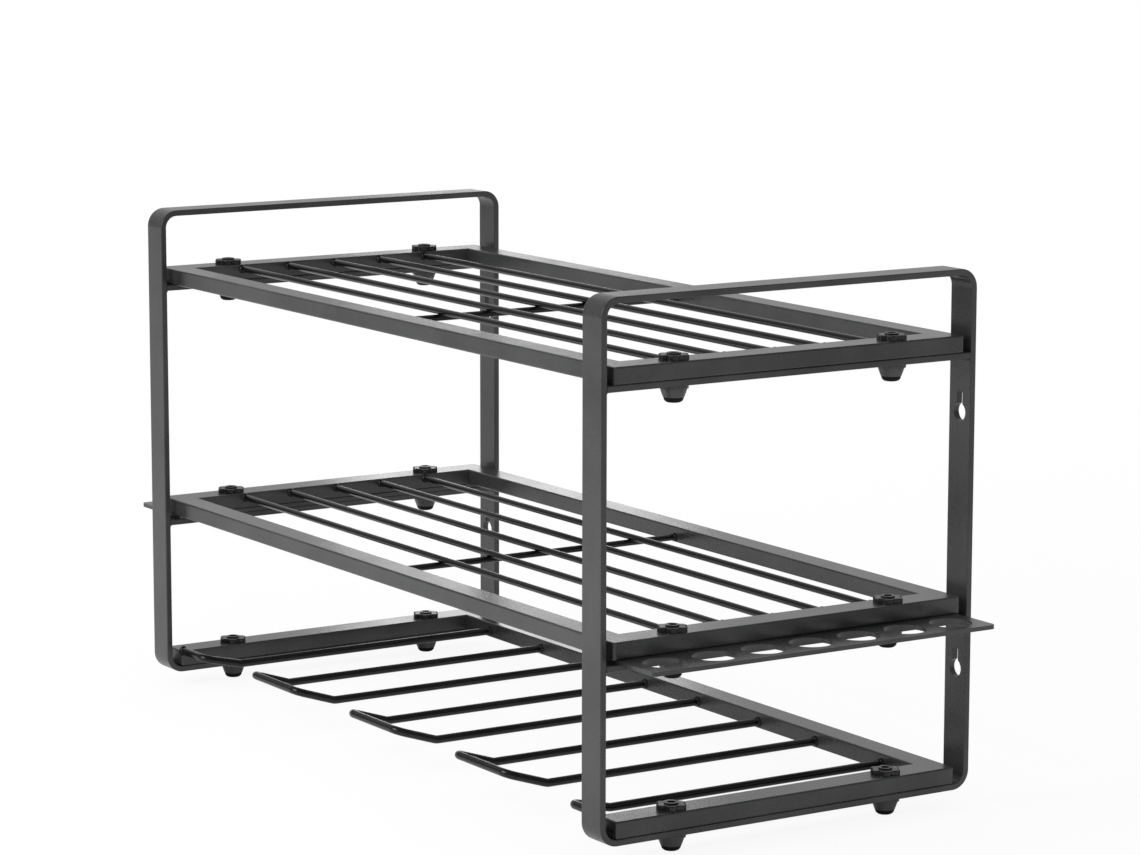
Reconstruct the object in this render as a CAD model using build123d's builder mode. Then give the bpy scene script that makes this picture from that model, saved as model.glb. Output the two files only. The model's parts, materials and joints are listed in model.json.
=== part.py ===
from build123d import *
import os

# A wall rack for power tools. Two closed loops of bent flat strip stand at its ends. Between
# them two wire shelves and a drill hanger rest on crossbars and on the loops' bottom bars, and
# a holed plate sticks out at each side. Twelve hand screws hold the levels to the loops.
# Millimetres. X runs along the wall, +Y points into it and +Z is up. The origin is the middle
# of the four keyholes, on the wall plane.

# Side frames, bent from flat strip
rack_width = 430.0
rack_depth = 204.0
frame_height = 243.0
strip_width = 15.5
strip_thickness = 3.0
frame_bend_radius = 9.0
strip_edge_radius = 0.5

# Keyholes in the rear posts
keyhole_spacing = 120.0
lower_keyhole_height = 56.0
keyhole_diameter = 8.5
keyhole_slot_width = 4.0
keyhole_rise = 8.6

# Levels, from the frames' top down to the upper shelf and from their underside up to the middle one
upper_shelf_drop = 30.5
middle_shelf_height = 91.5

# Rails, rectangular tube mitred at the corners. The side rails are as wide as the strip
rail_width = 13.0
rail_height = 8.0
rail_wall = 1.2
rail_corner_radius = 0.8
shelf_corner_radius = 2.0
shelf_post_gap = 3.5
end_cap_thickness = 1.0

# Shelf wires, with one cross wire under the long ones
shelf_wire_count = 5
shelf_wire_diameter = 3.2
shelf_wire_drop = 2.25
cross_wire_diameter = 3.2

# Drill hanger loops, with raised lips in front
drill_loop_count = 3
drill_loop_width = 47.2
drill_wire_diameter = 4.0
drill_wire_height = 3.2
lip_length = 21.0
lip_setback = 1.3
lip_bend_radius = 8.0
lip_corner_radius = 5.0
end_lip_drop = 1.9

# Tool plates at the sides
plate_thickness = 2.0
plate_length = 187.0
plate_overhang = 28.5
plate_corner_radius = 2.0
tool_row_offset = 14.6
screwdriver_hole_count = 7
screwdriver_hole_diameter = 20.0
screwdriver_end_margin = 15.2
pliers_slot_count = 3
pliers_slot_width = 18.0
pliers_slot_gap = 14.0
pliers_end_margin = 10.5

# Hand screws through the rails and crossbars
bolt_spacing = 118.8
screw_diameter = 4.0
screw_hole_clearance = 0.25
screw_head_flats = 7.0
screw_head_height = 2.8
screw_tip_chamfer = 0.4
moulding_clearance = 0.05
lobe_count = 6
nut_diameter = 14.0
nut_height = 2.3
nut_boss_diameter = 6.4
nut_boss_height = 0.7
nut_scallop_radius = 2.6
nut_scallop_depth = 1.3
nut_lobe_radius = 0.7
nut_edge_radius = 0.5
screw_recess = 1.2
knob_diameter = 13.5
knob_flange_height = 1.6
knob_shoulder_diameter = 12.4
knob_tip_diameter = 9.5
knob_height = 5.6
knob_scallop_radius = 2.4
knob_scallop_depth = 1.1
cap_diameter = 9.0
cap_height = 2.4
cap_edge_radius = 2.2

cut_overrun = 1.0

# Places worked out from the sizes above
sides = (-1, 1)
outer_x = rack_width / 2
strip_centre_x = outer_x - strip_width / 2
strip_inner_x = outer_x - strip_width
drill_loop_pitch = 2 * strip_inner_x / (drill_loop_count + 1)
mid_y = -rack_depth / 2
crossbar_length = rack_depth - 2 * strip_thickness
shelf_half_depth = crossbar_length / 2 - shelf_post_gap
rail_inner_y = shelf_half_depth - rail_width
hanger_half_depth = crossbar_length / 2 - frame_bend_radius + strip_thickness + rail_corner_radius
frame_bottom_z = -keyhole_spacing / 2 - lower_keyhole_height
frame_top_z = frame_bottom_z + frame_height
upper_top_z = frame_top_z - upper_shelf_drop
middle_top_z = frame_bottom_z + middle_shelf_height
hanger_top_z = frame_bottom_z + strip_thickness + rail_height
upper_crossbar_z = upper_top_z - rail_height - strip_thickness
plate_z = middle_top_z - rail_height - plate_thickness
middle_crossbar_z = plate_z - strip_thickness
screwdriver_row_length = plate_length - 2 * screwdriver_end_margin
screwdriver_hole_pitch = screwdriver_row_length / (screwdriver_hole_count - 1)
pliers_row_length = plate_length - 2 * pliers_end_margin
pliers_slot_pitch = (pliers_row_length + pliers_slot_gap) / pliers_slot_count
pliers_slot_length = pliers_slot_pitch - pliers_slot_gap
screw_hole_radius = screw_diameter / 2 + screw_hole_clearance
bolt_ys = [mid_y + side * bolt_spacing / 2 for side in sides]
bolt_points = [(side * strip_centre_x, y) for side in sides for y in bolt_ys]
side_names = {-1: "left", 1: "right"}


def save(piece, name):
    piece.part.label = name
    export_step(piece.part, f"parts/{name}.step")


# Side frames: a closed loop of strip with two screw holes below and two keyholes behind

def side_frame(side):
    strip_x = side * strip_centre_x
    loop_mid_z = (frame_bottom_z + frame_top_z) / 2
    inner_height = frame_height - 2 * strip_thickness
    inner_radius = frame_bend_radius - strip_thickness
    with BuildPart() as frame:
        with BuildSketch(Plane.YZ.offset(strip_x - strip_width / 2)):
            with Locations((mid_y, loop_mid_z)):
                RectangleRounded(rack_depth, frame_height, frame_bend_radius)
                RectangleRounded(crossbar_length, inner_height, inner_radius, mode=Mode.SUBTRACT)
        extrude(amount=strip_width)
        side_edges = frame.edges().group_by(Axis.X)
        fillet(side_edges[0] + side_edges[-1], radius=strip_edge_radius)
        with Locations(*[(strip_x, y, frame_bottom_z + strip_thickness + cut_overrun) for y in bolt_ys]):
            Hole(screw_hole_radius, depth=strip_thickness + 2 * cut_overrun)
        with BuildSketch(Plane.XZ):
            with Locations(*[(strip_x, end * keyhole_spacing / 2) for end in sides]):
                Circle(keyhole_diameter / 2)
                with Locations((0, keyhole_rise / 2)):
                    SlotCenterToCenter(keyhole_rise, keyhole_slot_width, rotation=90)
        extrude(amount=strip_thickness + cut_overrun, both=True, mode=Mode.SUBTRACT)
    save(frame, f"{side_names[side]}_side_frame")


# Crossbars: straight strip welded between the posts, under a shelf's side rail

def crossbar(side, level, bottom_z):
    strip_x = side * strip_centre_x
    with BuildPart() as bar:
        with BuildSketch(Plane.XY.offset(bottom_z)):
            with Locations((strip_x, mid_y)):
                Rectangle(strip_width, crossbar_length)
        extrude(amount=strip_thickness)
        fillet(bar.edges().filter_by(Axis.Y), radius=strip_edge_radius)
        with Locations(*[(strip_x, y, bottom_z) for y in bolt_ys]):
            Hole(screw_hole_radius)
    save(bar, f"{side_names[side]}_{level}_crossbar")


# Rails: tube with a mitre where two rails meet at a corner of the shelf

def mitre_plane(side_x, side_y, half_depth):
    corner = (side_x * outer_x, mid_y + side_y * half_depth, 0)
    across = (side_x * rail_width, -side_y * strip_width, 0)
    return Plane(origin=corner, x_dir=(0, 0, 1), z_dir=across)


def tube_section(width):
    RectangleRounded(width, rail_height, rail_corner_radius)
    Rectangle(width - 2 * rail_wall, rail_height - 2 * rail_wall, mode=Mode.SUBTRACT)


def round_corners(half_depth, top_z, front_margin=0):
    with BuildSketch(Plane.XY.offset(top_z - rail_height)) as outline:
        with Locations((0, mid_y - front_margin / 2)):
            RectangleRounded(rack_width, 2 * half_depth + front_margin, shelf_corner_radius)
    extrude(outline.sketch, amount=rail_height, mode=Mode.INTERSECT)


def long_rail(name, side_y, half_depth, top_z):
    rail_y = mid_y + side_y * (half_depth - rail_width / 2)
    with BuildPart() as rail:
        with BuildSketch(Plane.YZ.offset(-outer_x)):
            with Locations((rail_y, top_z - rail_height / 2)):
                tube_section(rail_width)
        extrude(amount=rack_width)
        for side_x in sides:
            split(bisect_by=mitre_plane(side_x, side_y, half_depth), keep=Keep.BOTTOM)
        round_corners(half_depth, top_z)
    save(rail, name)


def side_rail(name, side_x, half_depth, top_z, front_cut=0):
    rail_x = side_x * strip_centre_x
    mitred_ends = (1,) if front_cut else sides
    front_margin = shelf_corner_radius if front_cut else 0
    with BuildPart() as rail:
        with BuildSketch(Plane.XZ.offset(-mid_y - half_depth)):
            with Locations((rail_x, top_z - rail_height / 2)):
                tube_section(strip_width)
        extrude(amount=2 * half_depth - front_cut)
        for side_y in mitred_ends:
            split(bisect_by=mitre_plane(side_x, side_y, half_depth), keep=Keep.TOP)
        round_corners(half_depth, top_z, front_margin)
        with Locations(*[(rail_x, y, top_z) for y in bolt_ys]):
            Hole(screw_hole_radius)
    save(rail, name)


def end_cap(name, side_x, top_z):
    rail_x = side_x * strip_centre_x
    with BuildPart() as cap:
        with BuildSketch(Plane.XZ.offset(hanger_half_depth - mid_y - end_cap_thickness)):
            with Locations((rail_x, top_z - rail_height / 2)):
                RectangleRounded(strip_width, rail_height, rail_corner_radius)
        extrude(amount=end_cap_thickness)
        fillet(cap.edges().group_by(Axis.Y)[0], radius=rail_corner_radius)
    save(cap, name)


# Shelves: four rails, the long wires between the side rails and the cross wire beneath them

def shelf(level, top_z):
    long_rail(f"{level}_front_rail", -1, shelf_half_depth, top_z)
    long_rail(f"{level}_back_rail", 1, shelf_half_depth, top_z)
    for side in sides:
        side_rail(f"{level}_{side_names[side]}_rail", side, shelf_half_depth, top_z)

    wire_z = top_z - shelf_wire_drop
    wire_pitch = 2 * rail_inner_y / (shelf_wire_count + 1)
    for number in range(1, shelf_wire_count + 1):
        wire_y = mid_y - rail_inner_y + number * wire_pitch
        with BuildPart() as wire:
            with BuildSketch(Plane.YZ.offset(-strip_inner_x)):
                with Locations((wire_y, wire_z)):
                    Circle(shelf_wire_diameter / 2)
            extrude(amount=2 * strip_inner_x)
        save(wire, f"{level}_shelf_wire_{number}")

    cross_z = wire_z - shelf_wire_diameter / 2 - cross_wire_diameter / 2
    with BuildPart() as cross_wire:
        with BuildSketch(Plane.XZ.offset(-mid_y - rail_inner_y)):
            with Locations((0, cross_z)):
                Circle(cross_wire_diameter / 2)
        extrude(amount=2 * rail_inner_y)
    save(cross_wire, f"{level}_cross_wire")


# Drill hanger: three rails standing on the loops, and bent wires with raised lips in front

def bent_wire(name, points, radii):
    with BuildPart() as wire:
        with BuildLine():
            FilletPolyline(*points, radius=radii)
        with BuildSketch(Plane(origin=points[0], x_dir=(1, 0, 0), z_dir=(0, -1, 0))):
            Circle(drill_wire_diameter / 2)
        sweep()
    save(wire, name)


def hanger(top_z):
    long_rail("hanger_back_rail", 1, hanger_half_depth, top_z)
    for side in sides:
        name = f"hanger_{side_names[side]}_rail"
        side_rail(name, side, hanger_half_depth, top_z, front_cut=end_cap_thickness)
        end_cap(f"hanger_{side_names[side]}_end_cap", side, top_z)

    back_y = mid_y + hanger_half_depth - rail_width
    lip_y = mid_y - hanger_half_depth + lip_setback
    bend_y = lip_y + lip_length
    low_z = top_z - rail_height + drill_wire_height
    lip_z = top_z + drill_wire_diameter / 2
    end_lip_z = lip_z - end_lip_drop

    for number in range(1, drill_loop_count + 1):
        loop_x = (number - (drill_loop_count + 1) / 2) * drill_loop_pitch
        left_x = loop_x - drill_loop_width / 2
        right_x = loop_x + drill_loop_width / 2
        points = [
            (left_x, back_y, low_z),
            (left_x, bend_y, low_z),
            (left_x, lip_y, lip_z),
            (right_x, lip_y, lip_z),
            (right_x, bend_y, low_z),
            (right_x, back_y, low_z),
        ]
        radii = [lip_bend_radius, lip_corner_radius, lip_corner_radius, lip_bend_radius]
        bent_wire(f"drill_loop_{number}", points, radii)

    end_x = (drill_loop_count + 1) / 2 * drill_loop_pitch - drill_loop_width / 2
    for side in sides:
        points = [
            (side * end_x, back_y, low_z),
            (side * end_x, bend_y, low_z),
            (side * end_x, lip_y, end_lip_z),
            (side * strip_inner_x, lip_y, end_lip_z),
        ]
        radii = [lip_bend_radius, lip_corner_radius]
        bent_wire(f"drill_{side_names[side]}_end_wire", points, radii)


# Tool plates: flat sheet clamped between the middle shelf's side rail and its crossbar

def plate_blank(side):
    inner_x = side * strip_inner_x
    plate_width = strip_width + plate_overhang
    with Locations((inner_x + side * plate_width / 2, mid_y)):
        RectangleRounded(plate_width, plate_length, plate_corner_radius)
    with Locations(*[(side * strip_centre_x, y) for y in bolt_ys]):
        Circle(screw_hole_radius, mode=Mode.SUBTRACT)


def screwdriver_plate():
    with BuildPart() as plate:
        with BuildSketch(Plane.XY.offset(plate_z)):
            plate_blank(1)
            with Locations((outer_x + tool_row_offset, mid_y)):
                with GridLocations(0, screwdriver_hole_pitch, 1, screwdriver_hole_count):
                    Circle(screwdriver_hole_diameter / 2, mode=Mode.SUBTRACT)
        extrude(amount=plate_thickness)
    save(plate, "screwdriver_plate")


def pliers_plate():
    with BuildPart() as plate:
        with BuildSketch(Plane.XY.offset(plate_z)):
            plate_blank(-1)
            with Locations((-outer_x - tool_row_offset, mid_y)):
                with GridLocations(0, pliers_slot_pitch, 1, pliers_slot_count):
                    SlotOverall(pliers_slot_length, pliers_slot_width, rotation=90, mode=Mode.SUBTRACT)
        extrude(amount=plate_thickness)
    save(plate, "pliers_plate")


# Hand screws: a lobed nut on the rail, a screw moulded into a lobed knob below, and its cap

def scallops(diameter, scallop_radius, scallop_depth, mode=Mode.ADD):
    with PolarLocations(diameter / 2 - scallop_depth + scallop_radius, lobe_count):
        Circle(scallop_radius, mode=mode)


def save_at_bolts(piece, name, z):
    with BuildPart() as group:
        with Locations(*[(x, y, z) for x, y in bolt_points]):
            add(piece.part)
    save(group, name)


def hand_nut():
    with BuildPart() as nut:
        with BuildSketch() as outline:
            Circle(nut_diameter / 2)
            scallops(nut_diameter, nut_scallop_radius, nut_scallop_depth, mode=Mode.SUBTRACT)
            fillet(outline.vertices(), radius=nut_lobe_radius)
        extrude(amount=nut_height)
        fillet(nut.edges().group_by(Axis.Z)[-1], radius=nut_edge_radius)
        with BuildSketch(Plane.XY.offset(nut_height)):
            Circle(nut_boss_diameter / 2)
        extrude(amount=nut_boss_height)
        Hole(screw_diameter / 2 + moulding_clearance)
    return nut


def knob():
    with BuildPart() as body:
        with BuildSketch(Plane.XZ):
            with BuildLine():
                Polyline(
                    (0, 0),
                    (knob_diameter / 2, 0),
                    (knob_diameter / 2, -knob_flange_height),
                    (knob_shoulder_diameter / 2, -knob_flange_height),
                    (knob_tip_diameter / 2, -knob_height),
                    (0, -knob_height),
                    close=True,
                )
            make_face()
        revolve(axis=Axis.Z)
        with BuildSketch():
            scallops(knob_diameter, knob_scallop_radius, knob_scallop_depth)
        extrude(amount=-knob_height, mode=Mode.SUBTRACT)
        Hole(screw_diameter / 2 + moulding_clearance)
        with BuildSketch(Plane.XY.offset(-knob_height)):
            RegularPolygon(screw_head_flats / 2 + moulding_clearance, 6, major_radius=False)
        extrude(amount=screw_head_height, mode=Mode.SUBTRACT)
    return body


def screw(stack_height):
    head_z = -knob_height + screw_head_height
    tip_z = stack_height + nut_height + nut_boss_height - screw_recess
    with BuildPart() as body:
        with BuildSketch(Plane.XY.offset(-knob_height)):
            RegularPolygon(screw_head_flats / 2, 6, major_radius=False)
        extrude(amount=screw_head_height)
        with BuildSketch(Plane.XY.offset(head_z)):
            Circle(screw_diameter / 2)
        extrude(amount=tip_z - head_z)
        chamfer(body.edges().group_by(Axis.Z)[-1], length=screw_tip_chamfer)
    return body


def knob_cap():
    with BuildPart() as cap:
        with BuildSketch(Plane.XY.offset(-knob_height)):
            Circle(cap_diameter / 2)
        extrude(amount=-cap_height)
        fillet(cap.edges().group_by(Axis.Z)[0], radius=cap_edge_radius)
    return cap


def fasteners(level, knob_seat_z, nut_seat_z):
    save_at_bolts(hand_nut(), f"{level}_hand_nuts", nut_seat_z)
    save_at_bolts(knob(), f"{level}_knobs", knob_seat_z)
    save_at_bolts(screw(nut_seat_z - knob_seat_z), f"{level}_screws", knob_seat_z)
    save_at_bolts(knob_cap(), f"{level}_knob_caps", knob_seat_z)


for side in sides:
    side_frame(side)
    crossbar(side, "upper", upper_crossbar_z)
    crossbar(side, "middle", middle_crossbar_z)
shelf("upper", upper_top_z)
shelf("middle", middle_top_z)
hanger(hanger_top_z)
screwdriver_plate()
pliers_plate()
fasteners("upper", upper_crossbar_z, upper_top_z)
fasteners("middle", middle_crossbar_z, middle_top_z)
fasteners("lower", frame_bottom_z, hanger_top_z)
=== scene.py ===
import json
import math

import bpy
from mathutils import Matrix, Vector


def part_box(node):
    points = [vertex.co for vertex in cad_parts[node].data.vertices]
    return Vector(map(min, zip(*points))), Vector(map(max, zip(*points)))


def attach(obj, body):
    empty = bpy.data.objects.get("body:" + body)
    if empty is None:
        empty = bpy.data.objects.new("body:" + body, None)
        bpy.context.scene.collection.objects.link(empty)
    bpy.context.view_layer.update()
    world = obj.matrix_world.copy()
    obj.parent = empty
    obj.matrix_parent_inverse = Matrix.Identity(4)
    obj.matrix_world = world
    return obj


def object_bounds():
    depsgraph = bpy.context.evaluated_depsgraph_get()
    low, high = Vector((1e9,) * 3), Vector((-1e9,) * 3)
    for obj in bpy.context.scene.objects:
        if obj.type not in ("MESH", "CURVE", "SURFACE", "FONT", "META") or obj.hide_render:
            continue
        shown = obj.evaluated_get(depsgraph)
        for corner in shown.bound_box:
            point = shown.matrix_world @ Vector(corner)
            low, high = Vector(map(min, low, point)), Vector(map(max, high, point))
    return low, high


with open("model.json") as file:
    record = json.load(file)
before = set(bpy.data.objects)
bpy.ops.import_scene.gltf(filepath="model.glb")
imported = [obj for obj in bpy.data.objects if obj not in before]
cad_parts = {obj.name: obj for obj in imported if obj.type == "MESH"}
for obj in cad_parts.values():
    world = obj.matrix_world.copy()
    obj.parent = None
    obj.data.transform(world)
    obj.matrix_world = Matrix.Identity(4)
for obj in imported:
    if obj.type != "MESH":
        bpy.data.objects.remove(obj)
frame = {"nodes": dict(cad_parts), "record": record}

# The black powder-coated wall rack: camera, light, the welds that hold it together and the
# finish of every surface. Metres, in the frame of the solids.

cad_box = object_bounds()
MM = 0.001

# Camera, worked out from the rack's edges in the photograph
PHOTO_WIDTH = 1140
PHOTO_HEIGHT = 855
FOCAL_PIXELS = 3991.5
OPTICAL_CENTRE_PIXEL = (562.2, 450.8)
CAMERA_PLACE = Vector((1632.8, -1129.7, 343.2)) * MM
CAMERA_AZIMUTH = math.radians(57.43)
CAMERA_ELEVATION = math.radians(9.47)
CAMERA_ROLL = math.radians(0.067)
SENSOR_WIDTH = 36.0
FARTHEST_SEEN = 50.0

# Light
WORLD_LEVEL = 0.85
SIDE_GLOSS_LEVEL = 0.3
BACKDROP_GLOSS_LEVEL = 0.72
BACKDROP_WAY = (-0.81, 0.54, 0.24)
BACKDROP_EDGE = 0.4
BACKDROP_CORE = 0.95
KEY_WATTS = 4.5
KEY_SIZE = 0.6
KEY_PLACE = Vector((-100, -900, 450)) * MM
KEY_AIM = Vector((0, 0, 0))
RIM_WATTS = 0.38
RIM_SIZE = 0.27
RIM_PLACE = Vector((-804, 385, 75)) * MM
RIM_AIM = Vector((-207, -100, 0)) * MM
WHITE = (1.0, 1.0, 1.0, 1.0)

# Floor, which glows a little for the camera so that it fades into the backdrop
FLOOR_COLOUR = (0.93, 0.93, 0.93, 1.0)
FLOOR_GLOW = 0.9
FLOOR_CORNERS = 96
FLOOR_RADIUS = 4.0
FLOOR_CLEAR_RADIUS = 0.35
FLOOR_FADE_RADIUS = 1.1

# Patterns of the finishes
PATCH_SIZE = 38 * MM
PEEL_SIZE = 1.5 * MM
GRAIN_SIZE = 0.5 * MM
RUB_SIZE = 9 * MM
RUB_DULLNESS = 0.06
MOULD_PATCH_SIZE = 6 * MM
MOULD_GRAIN_SIZE = 0.28 * MM
SPECK_SIZE = 0.8 * MM
SPECK_DEPTH = 0.02 * MM
FILM_SIZE = 4 * MM

# Colours of the powder coat and the screws, from dark to light
PAINT_DARK = (0.015, 0.0154, 0.0158)
PAINT_LIGHT = (0.04, 0.0407, 0.0414)
PEEL_DEPTH = 0.04 * MM
STEEL_DARK = (0.05, 0.05, 0.052)
STEEL_LIGHT = (0.16, 0.16, 0.165)

# Welds
COLLAR_SPREAD = 0.75 * MM
COLLAR_TIP_SPREAD = 0.08 * MM
COLLAR_LENGTH = 1.3 * MM
COLLAR_SINK = 0.1 * MM
COLLAR_RIPPLE = 0.35 * MM
BEAD_RADIUS = 1.1 * MM
BEAD_PITCH = 0.9 * MM
BEAD_INSET = 2 * MM
BEAD_SINK = 0.2 * MM
BEAD_RIPPLE = 0.3 * MM
RIPPLE_SIZE = 1.4 * MM
WELD_SEED = 7


class Sheet:
    """One node tree, with a single method that makes any node in it."""

    def __init__(self, tree):
        self.tree = tree

    def make(self, kind, settings=None, inputs=None, out=0):
        node = self.tree.nodes.new(kind)
        for name, value in (settings or {}).items():
            if name == "stops":
                self.set_stops(node, value)
            else:
                setattr(node, name, value)
        for key, value in (inputs or {}).items():
            if isinstance(value, Signal):
                self.tree.links.new(value.socket, node.inputs[key])
            else:
                node.inputs[key].default_value = value
        return Signal(self, node.outputs[out]) if node.outputs else None

    def set_stops(self, node, stops):
        ramp = node.color_ramp
        while len(ramp.elements) < len(stops):
            ramp.elements.new(1.0)
        for element, (place, colour) in zip(ramp.elements, stops):
            element.position = place
            element.color = (*colour, 1.0)


class Signal:
    """A socket's value, which takes part in sums."""

    def __init__(self, sheet, socket):
        self.sheet = sheet
        self.socket = socket

    def maths(self, operation, first, second):
        return self.sheet.make("ShaderNodeMath", {"operation": operation}, {0: first, 1: second})

    def __add__(self, other):
        return self.maths("ADD", self, other)

    def __radd__(self, other):
        return self.maths("ADD", other, self)

    def __sub__(self, other):
        return self.maths("SUBTRACT", self, other)

    def __mul__(self, other):
        return self.maths("MULTIPLY", self, other)

    def __rmul__(self, other):
        return self.maths("MULTIPLY", other, self)

    def at_least(self, other):
        return self.maths("MAXIMUM", self, other)

    def at_most(self, other):
        return self.maths("MINIMUM", self, other)

    def step(self, low, high):
        settings = {"interpolation_type": "SMOOTHSTEP"}
        inputs = {"Value": self, "From Min": low, "From Max": high}
        return self.sheet.make("ShaderNodeMapRange", settings, inputs)


# Camera and light

def place_camera():
    data = bpy.data.cameras.new("photo_camera")
    data.sensor_width = SENSOR_WIDTH
    data.lens = FOCAL_PIXELS / PHOTO_WIDTH * SENSOR_WIDTH
    data.shift_x = (PHOTO_WIDTH / 2 - OPTICAL_CENTRE_PIXEL[0]) / PHOTO_WIDTH
    data.shift_y = (OPTICAL_CENTRE_PIXEL[1] - PHOTO_HEIGHT / 2) / PHOTO_WIDTH
    data.clip_end = FARTHEST_SEEN
    camera = bpy.data.objects.new("photo_camera", data)
    turn = Matrix.Rotation(CAMERA_AZIMUTH, 4, "Z")
    tilt = Matrix.Rotation(math.pi / 2 - CAMERA_ELEVATION, 4, "X")
    roll = Matrix.Rotation(CAMERA_ROLL, 4, "Z")
    camera.matrix_world = Matrix.Translation(CAMERA_PLACE) @ turn @ tilt @ roll
    bpy.context.scene.collection.objects.link(camera)
    bpy.context.scene.camera = camera


def light_world():
    """White for the camera; in reflections the backdrop is white and the room beside it dim."""
    world = bpy.data.worlds.new("studio")
    world.use_nodes = True
    world.node_tree.nodes.clear()
    sheet = Sheet(world.node_tree)
    seen = sheet.make("ShaderNodeLightPath", out="Is Camera Ray")
    glossy = sheet.make("ShaderNodeLightPath", out="Is Glossy Ray")
    through = sheet.make("ShaderNodeLightPath", out="Is Transmission Ray")
    way = sheet.make("ShaderNodeTexCoord", out="Generated")
    aims = {0: way, 1: BACKDROP_WAY}
    facing = sheet.make("ShaderNodeVectorMath", {"operation": "DOT_PRODUCT"}, aims, out="Value")
    backdrop_seen = facing.step(BACKDROP_EDGE, BACKDROP_CORE)
    reflected = SIDE_GLOSS_LEVEL + backdrop_seen * (BACKDROP_GLOSS_LEVEL - SIDE_GLOSS_LEVEL)
    white = seen.at_least(through)
    strength = WORLD_LEVEL + white * (1 - WORLD_LEVEL) + glossy * (reflected - WORLD_LEVEL)
    backdrop = sheet.make("ShaderNodeBackground", None, {"Color": WHITE, "Strength": strength})
    sheet.make("ShaderNodeOutputWorld", None, {"Surface": backdrop})
    bpy.context.scene.world = world


def hang_lamp(name, place, aim, size, watts):
    data = bpy.data.lights.new(name, "AREA")
    data.shape = "DISK"
    data.size = size
    data.energy = watts
    lamp = bpy.data.objects.new(name, data)
    turn = (place - aim).to_track_quat("Z", "Y")
    lamp.matrix_world = Matrix.Translation(place) @ turn.to_matrix().to_4x4()
    lamp.visible_camera = False
    bpy.context.scene.collection.objects.link(lamp)


def floor_finish():
    material = bpy.data.materials.new("floor")
    material.use_nodes = True
    material.node_tree.nodes.clear()
    sheet = Sheet(material.node_tree)
    place = sheet.make("ShaderNodeTexCoord", out="Object")
    radius = sheet.make("ShaderNodeVectorMath", {"operation": "LENGTH"}, {0: place}, out="Value")
    far = radius.step(FLOOR_CLEAR_RADIUS, FLOOR_FADE_RADIUS)
    seen = sheet.make("ShaderNodeLightPath", out="Is Camera Ray")
    pale = sheet.make("ShaderNodeBsdfDiffuse", None, {"Color": FLOOR_COLOUR})
    white = sheet.make("ShaderNodeEmission", None, {"Color": WHITE, "Strength": 1.0})
    glow = seen * (FLOOR_GLOW + far * (1 - FLOOR_GLOW))
    surface = sheet.make("ShaderNodeMixShader", None, {0: glow, 1: pale, 2: white})
    sheet.make("ShaderNodeOutputMaterial", None, {"Surface": surface})
    return material


def lay_floor():
    low_z = cad_box[0][2]
    turns = [2 * math.pi * k / FLOOR_CORNERS for k in range(FLOOR_CORNERS)]
    ring = [(FLOOR_RADIUS * math.cos(turn), FLOOR_RADIUS * math.sin(turn), low_z) for turn in turns]
    mesh = bpy.data.meshes.new("floor")
    mesh.from_pydata(ring, [], [list(range(FLOOR_CORNERS))])
    floor = bpy.data.objects.new("floor", mesh)
    floor.data.materials.append(floor_finish())
    bpy.context.scene.collection.objects.link(floor)


# Finishes

def new_finish(name):
    material = bpy.data.materials.new(name)
    material.use_nodes = True
    material.node_tree.nodes.clear()
    return material, Sheet(material.node_tree)


def noise(sheet, place, size, detail=2.0, roughness=0.5):
    inputs = {"Vector": place, "Scale": 1 / size, "Detail": detail, "Roughness": roughness}
    return sheet.make("ShaderNodeTexNoise", None, inputs, out="Fac")


def cells(sheet, place, size):
    inputs = {"Vector": place, "Scale": 1 / size}
    return sheet.make("ShaderNodeTexVoronoi", None, inputs, out="Distance")


def tint(sheet, factor, dark, light):
    settings = {"data_type": "RGBA"}
    inputs = {"Factor": factor, 6: (*dark, 1.0), 7: (*light, 1.0)}
    return sheet.make("ShaderNodeMix", settings, inputs, out=2)


def bump(sheet, height, depth, strength=1.0):
    inputs = {"Height": height, "Distance": depth, "Strength": strength}
    return sheet.make("ShaderNodeBump", None, inputs)


def surface(sheet, colour, roughness, normal, steady):
    inputs = {"Base Color": colour, "Roughness": roughness, "Normal": normal, **steady}
    shader = sheet.make("ShaderNodeBsdfPrincipled", None, inputs)
    sheet.make("ShaderNodeOutputMaterial", None, {"Surface": shader})


def powder_coat(name, dark, light, rough_low, rough_high, peel_depth, shine=0.5):
    """Baked powder: a fine orange peel, a finer grain, soft patches and a few dull rubs."""
    material, sheet = new_finish(name)
    place = sheet.make("ShaderNodeTexCoord", out="Object")
    patches = noise(sheet, place, PATCH_SIZE, 3.0)
    peel = cells(sheet, place, PEEL_SIZE)
    grain = noise(sheet, place, GRAIN_SIZE, 3.0, 0.65)
    rubs = noise(sheet, place, RUB_SIZE, 4.0, 0.7).step(0.62, 0.78)
    shade = (patches * 0.6 + grain * 0.4).step(0.3, 0.7)
    colour = tint(sheet, (shade + rubs * 0.25).at_most(1.0), dark, light)
    roughness = rough_low + (patches * 0.5 + grain * 0.5).step(0.25, 0.75) * (rough_high - rough_low)
    height = peel * 0.55 + grain * 0.45
    normal = bump(sheet, height, peel_depth)
    roughness = roughness + rubs * RUB_DULLNESS
    surface(sheet, colour, roughness, normal, {"Specular IOR Level": shine})
    return material


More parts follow.
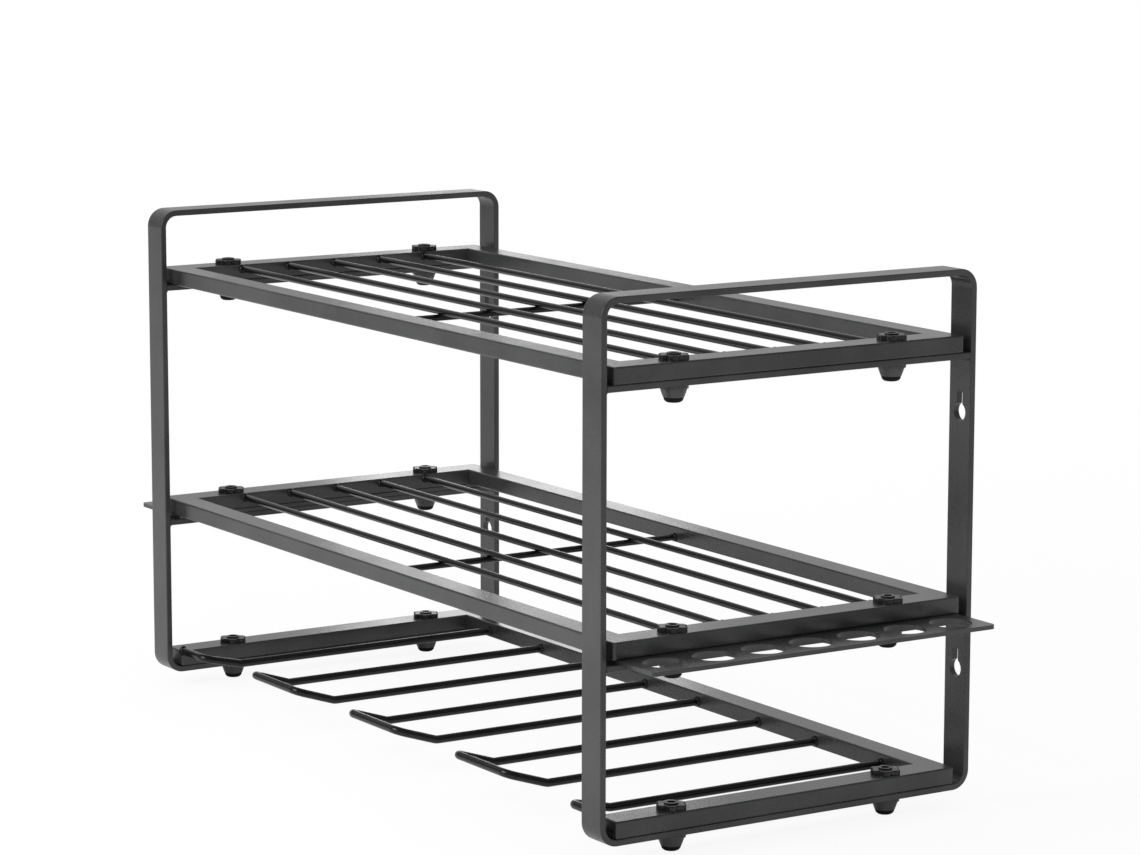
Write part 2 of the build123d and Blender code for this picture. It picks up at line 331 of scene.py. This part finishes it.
def moulded_plastic(name, dark, light, rough_low, rough_high, grain_depth, shine=0.5):
    """Moulded plastic: spark-eroded grain with slightly polished patches."""
    material, sheet = new_finish(name)
    place = sheet.make("ShaderNodeTexCoord", out="Object")
    patches = noise(sheet, place, MOULD_PATCH_SIZE, 2.0)
    grain = noise(sheet, place, MOULD_GRAIN_SIZE, 3.0, 0.7)
    colour = tint(sheet, (patches * 0.5 + grain * 0.5).step(0.3, 0.7), dark, light)
    roughness = rough_low + patches.step(0.3, 0.7) * (rough_high - rough_low)
    normal = bump(sheet, grain, grain_depth)
    surface(sheet, colour, roughness, normal, {"Specular IOR Level": shine})
    return material


def plated_steel(name):
    """Black zinc: dark metal mottled by fine specks and a broader film, with dull specks."""
    material, sheet = new_finish(name)
    place = sheet.make("ShaderNodeTexCoord", out="Object")
    specks = noise(sheet, place, SPECK_SIZE, 4.0, 0.6)
    film = noise(sheet, place, FILM_SIZE, 2.0)
    shade = (specks * 0.5 + film * 0.5).step(0.35, 0.65)
    colour = tint(sheet, shade, STEEL_DARK, STEEL_LIGHT)
    roughness = 0.3 + specks * 0.25
    surface(sheet, colour, roughness, bump(sheet, specks, SPECK_DEPTH), {"Metallic": 1.0})
    return material


def make_finishes():
    return {
        "frame_paint": powder_coat("frame_paint", PAINT_DARK, PAINT_LIGHT, 0.22, 0.33, PEEL_DEPTH),
        # The wires carry the same black powder coat as the frame. Their darker colour here is painted
        # shade, standing in for how dim the thin wires look in the studio, and the weld collars share
        # it.
        "wire_paint": powder_coat(
            "wire_paint", (0.002, 0.0021, 0.0022), (0.006, 0.0062, 0.0064), 0.15, 0.24, 0.01 * MM, 0.35
        ),
        "plate_paint": powder_coat("plate_paint", PAINT_DARK, PAINT_LIGHT, 0.22, 0.33, PEEL_DEPTH),
        "nut_plastic": moulded_plastic(
            "nut_plastic", (0.002, 0.002, 0.0021), (0.006, 0.006, 0.0062), 0.3, 0.42, 0.015 * MM
        ),
        "knob_plastic": moulded_plastic(
            "knob_plastic", (0.03, 0.0304, 0.031), (0.05, 0.0506, 0.0513), 0.32, 0.46, 0.025 * MM
        ),
        "foot_rubber": moulded_plastic(
            "foot_rubber", (0.003, 0.003, 0.003), (0.007, 0.007, 0.007), 0.55, 0.7, 0.02 * MM, 0.15
        ),
        "screw_steel": plated_steel("screw_steel"),
    }


def dress_nodes(finishes):
    slots = {part["node"]: part["material_slot"] for part in frame["record"]["subparts"]}
    for name, node in frame["nodes"].items():
        for slot in node.material_slots:
            slot.material = finishes[slots[name]]


# Welds, grown on points that carry the way each one faces

def weld_tree(name, build):
    tree = bpy.data.node_groups.new(name, "GeometryNodeTree")
    face = tree.interface
    face.new_socket("Geometry", in_out="INPUT", socket_type="NodeSocketGeometry")
    face.new_socket("Geometry", in_out="OUTPUT", socket_type="NodeSocketGeometry")
    for label in ("Foot Radius", "Top Radius", "Length", "Ripple", "Seed"):
        face.new_socket(label, in_out="INPUT", socket_type="NodeSocketFloat")
    face.new_socket("Finish", in_out="INPUT", socket_type="NodeSocketMaterial")
    sheet = Sheet(tree)

    def given(label):
        return sheet.make("NodeGroupInput", out=label)

    shape = build(sheet, given)
    kind = {"data_type": "FLOAT_VECTOR"}
    facing = sheet.make("GeometryNodeInputNamedAttribute", kind, {"Name": "facing"})
    aim = sheet.make("FunctionNodeAlignRotationToVector", {"axis": "Z"}, {"Vector": facing})
    spots = {"Points": given("Geometry"), "Instance": shape, "Rotation": aim}
    copies = sheet.make("GeometryNodeInstanceOnPoints", None, spots)
    solid = sheet.make("GeometryNodeRealizeInstances", None, {"Geometry": copies})
    uneven = {"W": given("Seed"), "Scale": 1 / RIPPLE_SIZE, "Detail": 2.0}
    ripple = sheet.make("ShaderNodeTexNoise", {"noise_dimensions": "4D"}, uneven, out="Fac")
    outward = sheet.make("GeometryNodeInputNormal")
    push = sheet.make(
        "ShaderNodeVectorMath",
        {"operation": "SCALE"},
        {0: outward, "Scale": (ripple - 0.5) * given("Ripple")},
    )
    moved = sheet.make("GeometryNodeSetPosition", None, {"Geometry": solid, "Offset": push})
    smooth = sheet.make("GeometryNodeSetShadeSmooth", None, {"Geometry": moved})
    coated = {"Geometry": smooth, "Material": given("Finish")}
    coated = sheet.make("GeometryNodeSetMaterial", None, coated)
    sheet.make("NodeGroupOutput", None, {"Geometry": coated})
    return tree


def collar_shape(sheet, given):
    """A flared ring of weld round a wire, from the rail's face outwards."""
    foot = {"Vertices": 20, "Side Segments": 3, "Radius Top": given("Top Radius")}
    foot.update({"Radius Bottom": given("Foot Radius"), "Depth": given("Length")})
    return sheet.make("GeometryNodeMeshCone", None, foot, out="Mesh")


def bead_shape(sheet, given):
    """One ripple of a laid bead, a small ball half sunk in the joint."""
    ball = {"Segments": 12, "Rings": 8, "Radius": given("Foot Radius")}
    return sheet.make("GeometryNodeMeshUVSphere", None, ball, out="Mesh")


def grow(name, tree, spots, sizes, finish):
    mesh = bpy.data.meshes.new(name + "_points")
    mesh.from_pydata([place for place, _ in spots], [], [])
    facing = mesh.attributes.new("facing", "FLOAT_VECTOR", "POINT")
    for index, (_, way) in enumerate(spots):
        facing.data[index].vector = way
    seedling = bpy.data.objects.new(name + "_points", mesh)
    bpy.context.scene.collection.objects.link(seedling)
    modifier = seedling.modifiers.new("welds", "NODES")
    modifier.node_group = tree
    values = {**sizes, "Seed": float(WELD_SEED), "Finish": finish}
    for item in tree.interface.items_tree:
        if item.in_out == "INPUT" and item.name in values:
            modifier[item.identifier] = values[item.name]
    bpy.context.view_layer.update()
    grown = seedling.evaluated_get(bpy.context.evaluated_depsgraph_get())
    result = bpy.data.meshes.new_from_object(grown)
    bpy.data.objects.remove(seedling)
    piece = bpy.data.objects.new(name, result)
    bpy.context.scene.collection.objects.link(piece)
    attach(piece, "root")
    return piece


def collars(name, tree, spots, wire_radius, finish):
    places = [(place - way * COLLAR_SINK, way) for place, way in spots]
    sizes = {
        "Foot Radius": wire_radius + COLLAR_SPREAD,
        "Top Radius": wire_radius + COLLAR_TIP_SPREAD,
        "Length": COLLAR_LENGTH,
        "Ripple": COLLAR_RIPPLE,
    }
    return grow(name, tree, places, sizes, finish)


def wire_ends(node, axis):
    """The middles of a straight wire's two end faces, each with the way into the wire."""
    low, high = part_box(node)
    centre = (low + high) / 2
    ends = []
    for place, sign in ((low, 1), (high, -1)):
        spot = centre.copy()
        spot[axis] = place[axis]
        way = Vector((0, 0, 0))
        way[axis] = sign
        ends.append((spot, way))
    return ends


def shelf_wire_names(level):
    start = f"{level}_shelf_wire_"
    return sorted(name for name in frame["nodes"] if name.startswith(start))


def drill_wire_ends():
    """The rear ends of the hanger's bent wires, at the back rail's front face."""
    back_low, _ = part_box("hanger_back_rail")
    names = [name for name in frame["nodes"] if name.startswith("drill_")]
    wire_radius = drill_wire_radius()
    wire_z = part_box("drill_loop_1")[0].z + wire_radius
    forwards = Vector((0, -1, 0))
    ends = []
    for name in names:
        low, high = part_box(name)
        legs = [low.x + wire_radius, high.x - wire_radius]
        if name == "drill_left_end_wire":
            legs = legs[1:]
        elif name == "drill_right_end_wire":
            legs = legs[:1]
        for x in legs:
            ends.append((Vector((x, back_low.y, wire_z)), forwards))
    return ends


def lip_ends():
    """The outer ends of the two end wires' crosspieces, at the side rails' inner faces."""
    radius = drill_wire_radius()
    ends = []
    for side in ("left", "right"):
        low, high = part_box(f"drill_{side}_end_wire")
        rail_low, rail_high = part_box(f"hanger_{side}_rail")
        left = side == "left"
        x = rail_high.x if left else rail_low.x
        way = Vector((1 if left else -1, 0, 0))
        ends.append((Vector((x, low.y + radius, high.z - radius)), way))
    return ends


def drill_wire_radius():
    low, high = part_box("drill_loop_1")
    rail_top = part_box("hanger_back_rail")[1].z
    return (high.z - rail_top) / 2


def bead_line(start, end, way):
    length = (end - start).length
    steps = max(2, round(length / BEAD_PITCH))
    return [(start.lerp(end, k / steps), way) for k in range(steps + 1)]


def crossbar_seams():
    """Beads along the joint of each crossbar's underside with its two posts."""
    spots = []
    for name in sorted(frame["nodes"]):
        if not name.endswith("_crossbar"):
            continue
        low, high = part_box(name)
        for y, lean in ((low.y, 1), (high.y, -1)):
            seam_y = y + lean * BEAD_SINK
            start = Vector((low.x + BEAD_INSET, seam_y, low.z))
            end = Vector((high.x - BEAD_INSET, seam_y, low.z))
            spots += bead_line(start, end, Vector((0, lean, -1)).normalized())
    return spots


def make_welds(finishes):
    collar_tree = weld_tree("weld_collar", collar_shape)
    bead_tree = weld_tree("weld_bead", bead_shape)
    for level in ("upper", "middle"):
        names = shelf_wire_names(level)
        low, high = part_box(names[0])
        spots = [end for name in names for end in wire_ends(name, 0)]
        spots += wire_ends(f"{level}_cross_wire", 1)
        wire_radius = (high.z - low.z) / 2
        collars(f"{level}_wire_welds", collar_tree, spots, wire_radius, finishes["wire_paint"])
    spots = drill_wire_ends() + lip_ends()
    collars("hanger_wire_welds", collar_tree, spots, drill_wire_radius(), finishes["wire_paint"])
    sizes = {"Foot Radius": BEAD_RADIUS, "Top Radius": 0.0, "Length": 0.0, "Ripple": BEAD_RIPPLE}
    grow("crossbar_welds", bead_tree, crossbar_seams(), sizes, finishes["frame_paint"])


place_camera()
light_world()
hang_lamp("key", KEY_PLACE, KEY_AIM, KEY_SIZE, KEY_WATTS)
hang_lamp("rim", RIM_PLACE, RIM_AIM, RIM_SIZE, RIM_WATTS)
lay_floor()
bpy.context.scene.view_settings.view_transform = "Standard"
finishes = make_finishes()
dress_nodes(finishes)
make_welds(finishes)
